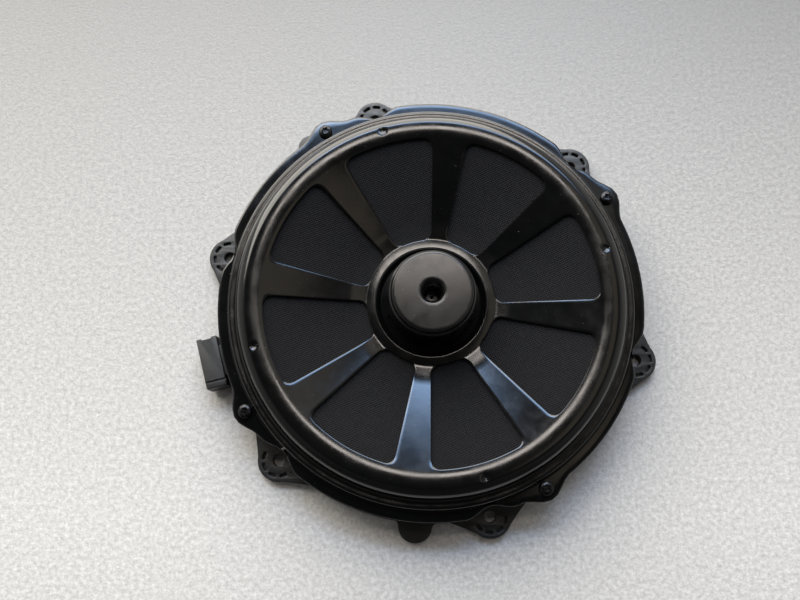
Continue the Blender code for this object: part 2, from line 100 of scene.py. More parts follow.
def soften(corners, closed=False, step=15):
    """Rounds a line's corners: each corner is (x, z, rounding, ...) and keeps its other values."""
    points = []
    count = len(corners)
    for k, corner in enumerate(corners):
        here = np.array(corner[:2], float)
        if corner[2] <= 0 or (not closed and k in (0, count - 1)):
            points.append((*corner[:2], *corner[3:]))
            continue
        before = np.array(corners[k - 1][:2], float) - here
        after = np.array(corners[(k + 1) % count][:2], float) - here
        long_before, long_after = np.linalg.norm(before), np.linalg.norm(after)
        before, after = before / long_before, after / long_after
        between = math.acos(max(-1.0, min(1.0, float(before @ after))))
        if between > math.radians(177):
            points.append((*corner[:2], *corner[3:]))
            continue
        reach = min(corner[2] / math.tan(between / 2), 0.48 * long_before, 0.48 * long_after)
        radius = reach * math.tan(between / 2)
        middle = here + (before + after) / np.linalg.norm(before + after) * radius / math.sin(between / 2)
        start = here + before * reach - middle
        end = here + after * reach - middle
        first = math.atan2(start[1], start[0])
        sweep = (math.atan2(end[1], end[0]) - first + math.pi) % (2 * math.pi) - math.pi
        parts = max(2, math.ceil(abs(math.degrees(sweep)) / step))
        for j in range(parts + 1):
            turn = first + sweep * j / parts
            spot = middle + radius * np.array([math.cos(turn), math.sin(turn)])
            points.append((spot[0], spot[1], *corner[3:]))
    return points


def object_from(name, vertices, faces):
    """A mesh from points in millimetres about the axis."""
    mesh = bpy.data.meshes.new(name)
    points = (np.array(vertices, float).reshape(-1, 3) + (AXIS_X, AXIS_Y, 0)) * MM
    mesh.from_pydata(points.tolist(), [], faces)
    thing = bpy.data.objects.new(name, mesh)
    bpy.context.scene.collection.objects.link(thing)
    return thing


def outward(thing):
    shape = bmesh.new()
    shape.from_mesh(thing.data)
    bmesh.ops.recalc_face_normals(shape, faces=shape.faces)
    shape.to_mesh(thing.data)
    shape.free()
    return thing


def smooth(thing, degrees=32):
    thing.data.shade_smooth()
    thing.data.set_sharp_from_angle(angle=math.radians(degrees))
    return thing


def turned(name, section, steps=128, at=(0.0, 0.0), shift=None):
    """A closed section of (radius, z) turned about an upright axis.

    With shift, a point may carry a third value, its share of shift(angle), added to its radius.
    """
    vertices, faces = [], []
    count = len(section)
    pole = [k for k, point in enumerate(section) if abs(point[0]) < 1e-6]
    for j in range(steps):
        turn = 360 * j / steps
        extra = shift(turn) if shift else 0.0
        for point in section:
            radius = point[0] + (point[2] * extra if len(point) > 2 else 0.0)
            x, y = polar(radius, turn)
            vertices.append((at[0] + x, at[1] + y, point[1]))
    for j in range(steps):
        following = (j + 1) % steps
        for k in range(count):
            after = (k + 1) % count
            if k in pole and after in pole:
                continue
            faces.append((j * count + k, following * count + k, following * count + after, j * count + after))
    thing = object_from(name, vertices, faces)
    if pole:
        weld(thing)
    return smooth(outward(thing))


def weld(thing):
    """Merges points that lie within two thousandths of a millimetre."""
    distance = 0.002 * MM
    shape = bmesh.new()
    shape.from_mesh(thing.data)
    bmesh.ops.remove_doubles(shape, verts=shape.verts, dist=distance)
    bmesh.ops.dissolve_degenerate(shape, edges=shape.edges, dist=distance)
    shape.to_mesh(thing.data)
    shape.free()


def shell_section(top, thickness):
    """A closed section from a top line and a thickness, with round ends."""
    points = np.array([point[:2] for point in top], float)
    along = np.gradient(points, axis=0)
    along /= np.linalg.norm(along, axis=1)[:, None]
    normal = np.stack([along[:, 1], -along[:, 0]], 1)
    normal *= np.where(normal[:, 1:2] > 0, -1.0, 1.0)
    under = points + normal * thickness
    ends = []
    for k in (-1, 0):
        middle = (points[k] + under[k]) / 2
        out = along[k] * (1 if k == -1 else -1)
        ends.append(middle + out * thickness * 0.35)
    return [*map(tuple, points), tuple(ends[0]), *map(tuple, under[::-1]), tuple(ends[1])]


def slab(name, outlines, bottom, top, rounding, at=(0.0, 0.0)):
    """A flat plate with round edges; an outline inside another is a hole."""
    curve = bpy.data.curves.new(name, "CURVE")
    curve.dimensions = "2D"
    curve.fill_mode = "BOTH"
    curve.extrude = ((top - bottom) / 2 - rounding) * MM
    curve.bevel_depth = rounding * MM
    curve.bevel_resolution = 2
    curve.offset = -rounding * MM
    for outline in outlines:
        spline = curve.splines.new("POLY")
        spline.points.add(len(outline) - 1)
        spline.use_cyclic_u = True
        for point, (x, y) in zip(spline.points, outline):
            point.co = (x * MM, y * MM, 0, 1)
    flat = bpy.data.objects.new(name, curve)
    bpy.context.scene.collection.objects.link(flat)
    graph = bpy.context.evaluated_depsgraph_get()
    mesh = bpy.data.meshes.new_from_object(flat.evaluated_get(graph))
    bpy.data.objects.remove(flat)
    thing = bpy.data.objects.new(name, mesh)
    bpy.context.scene.collection.objects.link(thing)
    for vertex in mesh.vertices:
        vertex.co.x += (AXIS_X + at[0]) * MM
        vertex.co.y += (AXIS_Y + at[1]) * MM
        vertex.co.z += (bottom + top) / 2 * MM
    weld(thing)
    return smooth(outward(thing))


def box(name, x, y, z, rounding):
    """A box with round edges; its x runs along the plug's radius and its y along the rim."""
    spots = [(*on_plug_line(a, b), c) for a in x for b in y for c in z]
    faces = [(0, 1, 3, 2), (4, 6, 7, 5), (0, 4, 5, 1), (2, 3, 7, 6), (0, 2, 6, 4), (1, 5, 7, 3)]
    thing = outward(object_from(name, spots, faces))
    if rounding:
        soft = thing.modifiers.new("edges", "BEVEL")
        soft.width = rounding * MM
        soft.segments = 3
        apply(thing)
    return smooth(thing)


def apply(thing):
    """Makes an object's modifiers part of its mesh."""
    graph = bpy.context.evaluated_depsgraph_get()
    mesh = bpy.data.meshes.new_from_object(thing.evaluated_get(graph))
    thing.modifiers.clear()
    thing.data = mesh


def cut(thing, cutter, operation="DIFFERENCE"):
    step = thing.modifiers.new("cut", "BOOLEAN")
    step.operation = operation
    step.solver = "EXACT"
    step.object = cutter
    apply(thing)
    bpy.data.objects.remove(cutter)
    smooth(thing)


def join(name, *things):
    """One object from several; their meshes are copied into one."""
    shape = bmesh.new()
    for thing in things:
        shape.from_mesh(thing.data)
    mesh = bpy.data.meshes.new(name)
    shape.to_mesh(mesh)
    shape.free()
    for thing in things:
        bpy.data.objects.remove(thing)
    whole = bpy.data.objects.new(name, mesh)
    bpy.context.scene.collection.objects.link(whole)
    return smooth(whole)


def circle(radius, count, at=(0.0, 0.0)):
    around = (polar(radius, 360 * k / count) for k in range(count))
    return [(at[0] + x, at[1] + y) for x, y in around]


# ---------------------------------------------------------------- materials


class Surface:
    """A material whose colour, gloss and relief are driven by textures in the part's own space."""

    def __init__(self, name, roughness=0.5, metallic=0.0, **sockets):
        self.material = bpy.data.materials.new(name)
        self.material.use_nodes = True
        self.tree = self.material.node_tree
        self.shader = self.tree.nodes["Principled BSDF"]
        self.shader.inputs["Roughness"].default_value = roughness
        self.shader.inputs["Metallic"].default_value = metallic
        for socket, value in sockets.items():
            self.shader.inputs[socket.replace("_", " ")].default_value = value
        self.place = self.node("ShaderNodeTexCoord").outputs["Object"]
        self.relief = None

    def node(self, kind, **settings):
        node = self.tree.nodes.new(kind)
        for key, value in settings.items():
            setattr(node, key, value)
        return node

    def link(self, source, target):
        self.tree.links.new(source, target)

    def mapped(self, scale=(1, 1, 1), turn=0.0):
        """The part's own space, stretched and turned about the axis."""
        mapping = self.node("ShaderNodeMapping")
        mapping.inputs["Scale"].default_value = scale
        mapping.inputs["Rotation"].default_value = (0, 0, math.radians(turn))
        self.link(self.place, mapping.inputs["Vector"])
        return mapping.outputs["Vector"]

    def noise(self, size, detail=4.0, rough=0.5, place=None):
        """Noise whose features are about size millimetres across."""
        node = self.node("ShaderNodeTexNoise")
        node.inputs["Scale"].default_value = 1000.0 / size
        node.inputs["Detail"].default_value = detail
        node.inputs["Roughness"].default_value = rough
        self.link(place or self.place, node.inputs["Vector"])
        return node.outputs["Fac"]

    def bands(self, pitch, direction, place, distortion=0.0):
        """Soft stripes, one for each pitch in millimetres."""
        node = self.node("ShaderNodeTexWave", wave_type="BANDS", bands_direction=direction)
        node.inputs["Scale"].default_value = 314.16 / pitch
        node.inputs["Distortion"].default_value = distortion
        node.inputs["Detail"].default_value = 1.0
        self.link(place, node.inputs["Vector"])
        return node.outputs["Fac"]

    def math(self, operation, first, second=None):
        node = self.node("ShaderNodeMath", operation=operation)
        for socket, value in zip(node.inputs, (first, second)):
            if value is None:
                continue
            if isinstance(value, (int, float)):
                socket.default_value = value
            else:
                self.link(value, socket)
        return node.outputs[0]

    def ramp(self, source, low, high, start, end):
        """A value that goes from low to high as the source goes from start to end."""
        node = self.node("ShaderNodeMapRange")
        node.inputs["From Min"].default_value = start
        node.inputs["From Max"].default_value = end
        node.inputs["To Min"].default_value = low
        node.inputs["To Max"].default_value = high
        self.link(source, node.inputs["Value"])
        return node.outputs["Result"]

    def colour(self, source, *stops):
        """Base colour from a source and stops of (position, (r, g, b))."""
        node = self.node("ShaderNodeValToRGB")
        elements = node.color_ramp.elements
        while len(elements) < len(stops):
            elements.new(0.5)
        for element, (position, rgb) in zip(elements, stops):
            element.position = position
            element.color = (*rgb, 1.0)
        self.link(source, node.inputs["Fac"])
        self.link(node.outputs["Color"], self.shader.inputs["Base Color"])
        return node.outputs["Color"]

    def tint(self, base, mask, rgb):
        """Lays another colour over the base colour where the mask is high."""
        node = self.node("ShaderNodeMix", data_type="RGBA")
        self.link(mask, node.inputs["Factor"])
        self.link(base, node.inputs[6])
        node.inputs[7].default_value = (*rgb, 1.0)
        self.link(node.outputs[2], self.shader.inputs["Base Color"])
        return node.outputs[2]

    def roughness(self, source, low, high):
        self.link(self.ramp(source, low, high, 0.3, 0.7), self.shader.inputs["Roughness"])

    def bump(self, source, height):
        """Relief of about height millimetres; later calls add to it."""
        node = self.node("ShaderNodeBump")
        node.inputs["Strength"].default_value = 1.0
        node.inputs["Distance"].default_value = height * MM
        self.link(source, node.inputs["Height"])
        if self.relief:
            self.link(self.relief, node.inputs["Normal"])
        self.relief = node.outputs["Normal"]
        self.link(self.relief, self.shader.inputs["Normal"])


def painted_steel(name, roughness, dust):
    """Black baked paint: faint orange peel, cloudy gloss, and a few specks of dust."""
    s = Surface(name, roughness)
    clouds = s.noise(26, 3)
    base = s.colour(clouds, (0.3, (0.0012, 0.0014, 0.0016)), (0.75, (0.0026, 0.0026, 0.0025)))
    specks = s.ramp(s.noise(1.5, 1.5, 0.6), 0.0, dust, 0.735, 0.80)
    s.tint(base, specks, (0.23, 0.22, 0.2))
    s.roughness(s.noise(11, 5, 0.6), roughness - 0.035, roughness + 0.05)
    s.bump(s.noise(1.9, 2), 0.006)
    s.bump(s.noise(15, 2), 0.03)
    return s.material


def filled_plastic(name, level, roughness):
    """Glass-filled moulded plastic: fine grain and faint flow marks."""
    s = Surface(name, roughness)
    flow = s.noise(18, 4, 0.6, s.mapped((1, 0.45, 1), 25))
    dark, light = (level * 0.8, level * 0.82, level * 0.8), (level * 1.3, level * 1.3, level * 1.25)
    base = s.colour(flow, (0.3, dark), (0.72, light))
    s.tint(base, s.ramp(s.noise(0.9, 2), 0.0, 0.25, 0.68, 0.8), (0.16, 0.16, 0.15))
    s.roughness(s.noise(2.4, 4), roughness - 0.08, roughness + 0.1)
    s.bump(s.noise(0.35, 3, 0.6), 0.03)
    s.bump(s.noise(6, 2), 0.04)
    return s.material


def woven(name, pitch, turn, dark, light, height, roughness, sheen):
    """Plain weave: threads cross over and under, with uneven yarn."""
    s = Surface(name, roughness, Sheen_Weight=sheen, Sheen_Roughness=0.5, Specular_IOR_Level=0.15)
    place = s.mapped(turn=turn)
    warp = s.bands(pitch, "X", place, 0.25)
    weft = s.bands(pitch, "Y", place, 0.25)
    under = s.bands(2 * pitch, "X", place)
    over = s.bands(2 * pitch, "Y", place)
    check = s.math("MULTIPLY", s.math("SUBTRACT", under, 0.5), s.math("SUBTRACT", over, 0.5))
    crossing = s.math("ADD", s.math("MULTIPLY", check, 1.2), s.math("MAXIMUM", warp, weft))
    knots = s.math("MULTIPLY", s.math("MULTIPLY", warp, weft), 0.8)
    yarn = s.math("ADD", knots, s.math("MULTIPLY", crossing, 0.35))
    thickness = s.math("SUBTRACT", s.noise(3.5, 3), 0.5)
    uneven = s.math("ADD", yarn, s.math("MULTIPLY", thickness, 0.35))
    s.colour(uneven, (0.12, dark), (0.85, light))
    s.bump(uneven, height)
    s.bump(s.noise(0.25, 2), height * 0.2)
    return s.material


def foam(name):
    """Open foam: small dark cells."""
    s = Surface(name, 0.95)
    cells = s.node("ShaderNodeTexVoronoi")
    cells.inputs["Scale"].default_value = 1900
    s.link(s.place, cells.inputs["Vector"])
    s.colour(cells.outputs["Distance"], (0.0, (0.03, 0.03, 0.031)), (0.6, (0.008, 0.008, 0.008)))
    s.bump(cells.outputs["Distance"], -0.2)
    s.bump(s.noise(5, 3), 0.15)
    return s.material


def rubber(name):
    """Matt rubber with a fine skin and cloudy colour."""
    s = Surface(name, 0.55)
    s.colour(s.noise(14, 5, 0.6), (0.3, (0.009, 0.009, 0.0095)), (0.7, (0.02, 0.02, 0.02)))
    s.roughness(s.noise(7, 4), 0.48, 0.66)
    s.bump(s.noise(0.5, 2), 0.02)
    s.bump(s.noise(5, 2), 0.05)
    return s.material


def pulp(name, level):
    """Pressed black paper: short fibres in every direction over cloudy density."""
    s = Surface(name, 0.8, Sheen_Weight=0.1)
    along = s.noise(1.2, 3, 0.7, s.mapped((1, 6, 1), 20))
    across = s.noise(1.2, 3, 0.7, s.mapped((6, 1, 1), 50))
    fibres = s.math("MAXIMUM", along, across)
    dark, light = (level * 0.45, level * 0.45, level * 0.48), (level * 1.5, level * 1.5, level * 1.5)
    s.colour(fibres, (0.45, dark), (0.75, light))
    s.roughness(s.noise(16, 3), 0.68, 0.86)
    s.bump(fibres, 0.12)
    s.bump(s.noise(12, 3), 0.2)
    return s.material


def metal(name, dark, light, roughness, size, stretch=(1, 1, 1)):
    """Bare or plated metal with drawn or cloudy marks."""
    s = Surface(name, roughness, 1.0)
    marks = s.noise(size, 5, 0.6, s.mapped(stretch))
    s.colour(marks, (0.3, dark), (0.7, light))
    s.roughness(s.noise(size * 2, 4), roughness - 0.06, roughness + 0.1)
    s.bump(marks, 0.01)
    return s.material


def wound(name):
    """Enamelled copper wire, wound in layers one above another."""
    s = Surface(name, 0.3, 0.9, Coat_Weight=0.6)
    turns = s.bands(0.55, "Z", s.mapped())
    s.colour(turns, (0.0, (0.12, 0.035, 0.015)), (0.7, (0.72, 0.3, 0.13)))
    s.roughness(s.noise(2, 3), 0.22, 0.36)
    s.bump(turns, 0.12)
    return s.material


def braided(name):
    """Copper strands braided into a cord."""
    s = Surface(name, 0.4, 1.0)
    left = s.bands(0.7, "DIAGONAL", s.mapped((1, 1, 1), 35))
    right = s.bands(0.7, "DIAGONAL", s.mapped((1, 1, -1), -35))
    strands = s.math("MULTIPLY", left, right)
    s.colour(strands, (0.0, (0.1, 0.04, 0.02)), (0.6, (0.75, 0.4, 0.22)))
    s.bump(strands, 0.15)
    return s.material


SCREEN_DARK, SCREEN_LIGHT = (0.001, 0.001, 0.0014), (0.0085, 0.0088, 0.0108)
SPIDER_DARK, SPIDER_LIGHT = (0.22, 0.13, 0.05), (0.62, 0.47, 0.24)

MATERIALS = {
    "painted_steel": painted_steel("painted_steel", 0.125, 0.3),
    "cup_paint": painted_steel("cup_paint", 0.18, 0.4),
    "filled_plastic": filled_plastic("filled_plastic", 0.009, 0.42),
    "plug_plastic": filled_plastic("plug_plastic", 0.011, 0.45),
    "screen_cloth": woven("screen_cloth", 1.15, -23, SCREEN_DARK, SCREEN_LIGHT, 0.24, 0.75, 0.0),
    "spider_cloth": woven("spider_cloth", 0.8, 10, SPIDER_DARK, SPIDER_LIGHT, 0.12, 0.7, 0.1),
    "foam": foam("foam"),
    "surround_rubber": rubber("surround_rubber"),
    "cone_pulp": pulp("cone_pulp", 0.03),
    "cap_pulp": pulp("cap_pulp", 0.024),
    "black_zinc": metal("black_zinc", (0.012, 0.012, 0.013), (0.045, 0.045, 0.048), 0.26, 1.5),
    "nickel_plating": metal("nickel_plating", (0.5, 0.48, 0.44), (0.66, 0.64, 0.6), 0.25, 5.0),
    "bare_steel": metal("bare_steel", (0.32, 0.32, 0.33), (0.5, 0.5, 0.5), 0.35, 2.0, (1, 1, 12)),
    "former_aluminium": metal("former_aluminium", (0.6, 0.6, 0.61), (0.8, 0.8, 0.81), 0.32, 4.0, (1, 1, 0.2)),
    "copper": wound("copper"),
    "braid": braided("braid"),
    "tinned_brass": metal("tinned_brass", (0.52, 0.49, 0.4), (0.72, 0.68, 0.56), 0.32, 1.2, (4, 1, 1)),
}


def finish(thing, material, node, body="frame"):
    """Gives a piece its material, hides the CAD part that it replaces, and hangs it on the body that it moves
    with, if one is given.
    """
    thing.data.materials.clear()
    thing.data.materials.append(MATERIALS[material])
    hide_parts(node)
    if body:
        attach(thing, body)


# ---------------------------------------------------------------- basket

STEEL = 1.2
WINDOW_INNER_R, WINDOW_OUTER_R, WINDOW_CORNER = 36.9, 95.1, 5.4
SPOKE_HALF = 6.1
SPOKE_SHARES, GAP_POINTS = np.linspace(-1, 1, 11), 46
DENT_R, DENT_WIDTH, DENT_DEPTH = 103.2, 1.5, 0.9
FLANGE_TOP, FLANGE_FOOT_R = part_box("surround_gasket")[0].z / MM + STEEL, 118.4


def crest_line():
    """The rolled rim: the plate bends gently to level, then turns down into a nearly upright wall."""
    top, gentle, tight = (104.3, 40.5), 35.5, 6.2
    inner = [math.radians(t) for t in np.linspace(-13.5, 0, 10)]
    outer = [math.radians(t) for t in range(4, 80, 4)]
    return [
        (top[0] + radius * math.sin(t), top[1] - radius * (1 - math.cos(t)), 0)
        for radius, turns in ((gentle, inner), (tight, outer))
        for t in turns
    ]


BASKET_LINE = [
    (21.2, 21.5, 0),
    (24.5, 21.5, 3),
    (29.2, 22.4, 1.2),
    (31.7, 26.35, 1.5),
    (37.6, 26.05, 6),
    (45.8, 27.2, 4),
    *crest_line(),
    (111.4, 29.25, 2.0),
    (116.4, 29.95, 1.3),
    (117.7, 24.72, 1.0),
    (118.4, 24.7, 0),
]


def height_on(line, radius):
    for (r0, z0), (r1, z1) in zip(line, line[1:]):
        if r0 <= radius <= r1 and r1 > r0:
            return z0 + (z1 - z0) * (radius - r0) / (r1 - r0)
    return line[-1][1]


def flange_radius(degrees):
    """The flange's edge: lobes at the screws, and scallops that clear the ears' holes."""
    lobes = 5.9 * max(bump(degrees, screw, 7.5) for screw in SCREWS)
    scallops = 4.7 * max(bump(degrees, ear, 7.0) for ear in EARS)
    return 123.7 + lobes - scallops


def dent(radius, degrees):
    """How far the crest is pushed in at the four small tool marks."""
    depth = 0.0
    for centre in DENTS:
        across = math.radians(away(degrees, centre)) * radius / DENT_WIDTH
        along = (radius - DENT_R) / DENT_WIDTH
        if abs(across) < 3:
            depth += DENT_DEPTH * math.exp(-(across**2)) * math.exp(-(along**2))
    return depth


def spoke_half(radius):
    """A spoke's half angle, which widens into the round corners of the windows."""
    inner, outer = radius - WINDOW_INNER_R, WINDOW_OUTER_R - radius
    near = min(inner, outer)
    widen = 0.0
    if near < WINDOW_CORNER:
        short = WINDOW_CORNER - near
        widen = WINDOW_CORNER - math.sqrt(max(0.0, WINDOW_CORNER**2 - short**2))
    return SPOKE_HALF + math.degrees(widen / radius)


def build_basket():
    """The pressing: hub and rim are full rings of points, and each spoke is a strip between them."""
    profile = soften(BASKET_LINE, step=12)
    corner = [WINDOW_CORNER * (1 - math.sin(math.radians(90) * k / 7)) for k in range(8)]
    first, straight = WINDOW_INNER_R + WINDOW_CORNER, WINDOW_OUTER_R - WINDOW_INNER_R - 2 * WINDOW_CORNER
    spoke_radii = sorted(
        {round(WINDOW_INNER_R + c, 4) for c in corner}
        | {round(WINDOW_OUTER_R - c, 4) for c in corner}
        | {round(first + straight * k / 22, 4) for k in range(23)}
    )
    hub = [(r, z) for r, z in profile if r < WINDOW_INNER_R - 0.6]
    hub = [(21.2, 21.5), (23.5, 21.5), (26, 21.5)] + hub[1:]
    hub.append((WINDOW_INNER_R - 0.5, height_on(profile, WINDOW_INNER_R - 0.5)))
    hub.append((WINDOW_INNER_R, height_on(profile, WINDOW_INNER_R)))
    rim = [(r, z) for r, z in profile if r > WINDOW_OUTER_R + 0.6]
    edge = [(r, height_on(profile, r)) for r in (WINDOW_OUTER_R, WINDOW_OUTER_R + 0.5)]
    rim = edge + subdivide(rim, 1.3)

    def ring_angles(radius):
        half = spoke_half(radius)
        turns = []
        for centre in SPOKES:
            turns += [centre + half * share for share in SPOKE_SHARES]
            span = 45 - 2 * half
            turns += [centre + half + span * k / (GAP_POINTS + 1) for k in range(1, GAP_POINTS + 1)]
        return turns

    vertices, faces = [], []

    def add_ring(radius, z, turns, bent=True):
        start = len(vertices)
        for turn in turns:
            push = dent(radius, turn) if bent else 0.0
            x, y = polar(radius - 0.45 * push, turn)
            vertices.append((x, y, z - push))
        return start

    def bridge(lower, upper, count, closed=True):
        for k in range(count if closed else count - 1):
            after = (k + 1) % count
            faces.append((lower + k, upper + k, upper + after, lower + after))

    inner_turns, outer_turns = ring_angles(WINDOW_INNER_R), ring_angles(WINDOW_OUTER_R)
    count = len(inner_turns)
    previous = None
    for radius, z in hub:
        ring = add_ring(radius, z, inner_turns, False)
        if previous is not None:
            bridge(previous, ring, count)
        previous = ring
    hub_edge = previous
    previous = rim_edge = None
    for radius, z in rim:
        ring = add_ring(radius, z, outer_turns)
        if previous is None:
            rim_edge = ring
        else:
            bridge(previous, ring, count)
        previous = ring
    round_edge = ((1, 1.2, 0), (1, 0.7, 0.08), (1, 0.3, 0.28), (1, 0.08, 0.52), (1, 0, 0.8))
    for share, back, drop in ((0, 0, 0), (0.5, 0.6, 0), *round_edge):
        start = len(vertices)
        for turn in outer_turns:
            width = flange_radius(turn) - FLANGE_FOOT_R - 0.3
            x, y = polar(FLANGE_FOOT_R + 0.3 + width * share - back, turn)
            vertices.append((x, y, FLANGE_TOP - drop))
        bridge(previous, start, count)
        previous = start

    per_spoke = len(SPOKE_SHARES) + GAP_POINTS
    for number, centre in enumerate(SPOKES):
        previous = hub_edge + number * per_spoke
        for radius in spoke_radii[1:-1]:
            half = spoke_half(radius)
            turns = [centre + half * share for share in SPOKE_SHARES]
            ring = add_ring(radius, height_on(profile, radius), turns, False)
            bridge(previous, ring, len(SPOKE_SHARES), False)
            previous = ring
        bridge(previous, rim_edge + number * per_spoke, len(SPOKE_SHARES), False)

    basket = object_from("basket_pressing", vertices, faces)
    shell = basket.modifiers.new("thickness", "SOLIDIFY")
    shell.thickness = STEEL * MM
    shell.offset = -1
    edges = basket.modifiers.new("edges", "BEVEL")
    edges.width = 0.28 * MM
    edges.segments = 2
    edges.limit_method = "ANGLE"
    edges.angle_limit = math.radians(60)
    apply(basket)
    for screw in SCREWS:
        hole = turned("hole", [(0, 28), (2.4, 28), (2.4, 20), (0, 20)], 24, polar(SCREW_PITCH_R, screw))
        cut(basket, hole)
    smooth(basket, 40)
    finish(basket, "painted_steel", "basket")


def subdivide(points, longest):
    """Adds points to a line so that no stretch is longer than longest."""
    fine = [points[0]]
    for here, there in zip(points, points[1:]):
        parts = max(1, math.ceil(math.dist(here[:2], there[:2]) / longest))
        for k in range(1, parts + 1):
            fine.append(tuple(a + (b - a) * k / parts for a, b in zip(here, there)))
    return fine


def build_dust_screen():
    """Woven cloth stretched behind the windows; it gives a little between the spokes."""
    line = soften(BASKET_LINE, step=12)
    radii = np.linspace(SCREEN_INNER_R, SCREEN_OUTER_R, 30)
    plate_end, plate_slope, depth = 94, 0.234, 1.62
    steps = 240
    top, faces = [], []
    for radius in radii:
        reach = math.sin(math.pi * (radius - SCREEN_INNER_R) / (SCREEN_OUTER_R - SCREEN_INNER_R))
        plate = height_on(line, min(radius, plate_end)) + plate_slope * max(0.0, radius - plate_end)
        for j in range(steps):
            turn = 360 * j / steps
            nearest = min(abs(away(turn, spoke)) for spoke in SPOKES)
            sag = 0.55 * reach * math.sin(math.pi * min(1.0, nearest / 22.5) / 2) ** 2
            x, y = polar(radius, turn)
            top.append((x, y, plate - depth - sag))
    for k in range(len(radii) - 1):
        for j in range(steps):
            after = (j + 1) % steps
            faces.append((k * steps + j, (k + 1) * steps + j, (k + 1) * steps + after, k * steps + after))
    screen = object_from("dust_screen_cloth", top, faces)
    shell = screen.modifiers.new("thickness", "SOLIDIFY")
    shell.thickness = 0.4 * MM
    shell.offset = -1
    apply(screen)
    smooth(screen, 60)
    finish(screen, "screen_cloth", "dust_screen")


# ---------------------------------------------------------------- motor


def build_motor():
    top = cup_high.z / MM
    cup = soften(
        [
            (5.2, top - 2.0, 0.6),
            (6.9, top, 1.1),
            (8.4, top, 0),
            (14.0, top, 0),
            (20.2, top, 0),
            (22.4, top, 1.5),
            (23.0, top - 3.8, 0.9),
            (24.2, top - 4.7, 0.7),
            (24.2, 21.8, 0.3),
            (20.9, 21.8, 0.3),
            (20.9, 49.3, 0.8),
            (5.2, 49.3, 0.2),
        ],
        closed=True,
    )
    finish(turned("motor_cup_turned", cup, 160), "cup_paint", "motor_cup")
    rivet = soften(
        [
            (0.9, 38.0, 0.15),
            (3.4, 38.0, 0.5),
            (4.7, 36.6, 0.8),
            (4.7, 31.7, 0.2),
            (2.2, 31.6, 0.2),
            (2.2, 24.0, 0.2),
            (0.9, 24.0, 0.1),
        ],
        closed=True,
    )
    finish(turned("centre_rivet_turned", rivet, 48), "black_zinc", "centre_rivet")
    magnet = soften([(5.2, 49.0, 0.4), (17.2, 49.0, 0.5), (17.2, 31.6, 0.5), (5.2, 31.6, 0.4)], closed=True)
    finish(turned("magnet_ring", magnet, 96), "nickel_plating", "magnet")
    plate = soften([(2.5, 31.3, 0.3), (17.9, 31.3, 0.4), (17.9, 24.0, 0.4), (2.5, 24.0, 0.3)], closed=True)
    finish(turned("pole_plate", plate, 96), "bare_steel", "top_plate")
    former = soften([(18.5, 40.5, 0.1), (18.9, 40.5, 0.1), (18.9, 9.8, 0.1), (18.5, 9.8, 0.1)], closed=True)
    tube = turned("voice_coil_tube", former, 96)
    finish(tube, "former_aluminium", "voice_coil_former", "cone_assembly")
    layers = [(19.2, 36.6), (20.05, 36.6)]
    for k in range(44):
        z = 36.4 - k * 0.41
        layers += [(20.3, z), (20.18, z - 0.2)]
    layers += [(20.05, 18.4), (19.2, 18.4)]
    coil = turned("voice_coil_wire", layers, 96)
    finish(coil, "copper", "voice_coil_winding", "cone_assembly")


# ---------------------------------------------------------------- screws


def build_screws():
    """Pan-head screws with a six-lobed recess."""
    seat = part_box("basket_screw_1")[1].z / MM - 2.6
    for k, angle in enumerate(SCREWS):
        spot = polar(SCREW_PITCH_R, angle)
        head = soften(
            [
                (0, seat + 2.6, 0),
                (2.2, seat + 2.6, 1.5),
                (3.95, seat + 1.9, 1.2),
                (4.0, seat, 0.2),
                (1.9, seat, 0.1),
                (1.9, 9.4, 0.4),
                (0.7, 8.0, 0.2),
                (0, 8.0, 0),
            ]
        )
        screw = turned(f"screw_{k + 1}", head, 48, spot)
        star = []
        for j in range(48):
            turn = 360 * j / 48
            star.append(polar(1.95 + 0.38 * math.cos(math.radians(6 * turn)), turn + 12 * k))
        recess = slab("recess", [star], seat + 0.9, seat + 4, 0.02, spot)
        cut(screw, recess)
        finish(screw, "black_zinc", f"basket_screw_{k + 1}")


# ---------------------------------------------------------------- mounting ring

BASE_R, BASE_TOP = 125.4, 5.4
RING_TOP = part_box("mounting_ring")[1].z / MM


def ear(angle, pitch, tip, half, spread=54):
    """An ear's outline: a round tip with sides that run in a soft curve to the rim.

    tip is the tip's radius, spread its half angle, and half the half angle of the ear's foot.
    """
    turns = [angle + spread * k / 10 for k in range(-10, 11)]
    middle = polar(pitch, angle)
    arc = [(middle[0] + x, middle[1] + y) for x, y in (polar(tip, turn) for turn in turns)]
    feet = []
    for side, end in ((-1, arc[0]), (1, arc[-1])):
        foot = polar(BASE_R, angle + side * half)
        knee = polar(BASE_R + 1.0, angle + side * half * 0.86)
        flank = []
        for k in range(6):
            t = k / 6
            x = (1 - t) ** 2 * foot[0] + 2 * t * (1 - t) * knee[0] + t * t * end[0]
            y = (1 - t) ** 2 * foot[1] + 2 * t * (1 - t) * knee[1] + t * t * end[1]
            flank.append((x, y))
        feet.append(flank)
    return [*feet[0], *arc, *feet[1][::-1]]


def base_outline():
    """The ring's outer edge: the ears, with the plain rim between them."""
    ears = [(angle, EAR_PITCH_R, 12.3, 10.8) for angle in EARS]
    small_ear, locating_tab = (125.0, 127.0, 8.0, 7.0), (265.3, 126.8, 9.8, 5.2, 80)
    ears = sorted([*ears, small_ear, locating_tab])
    points = []
    for here, following in zip(ears, ears[1:] + ears[:1]):
        points += ear(*here)
        start = here[0] + here[3]
        reach = (following[0] - following[3] - start) % 360
        count = math.ceil(reach / 1.5)
        points += [polar(BASE_R, start + reach * k / count) for k in range(1, count)]
    return points


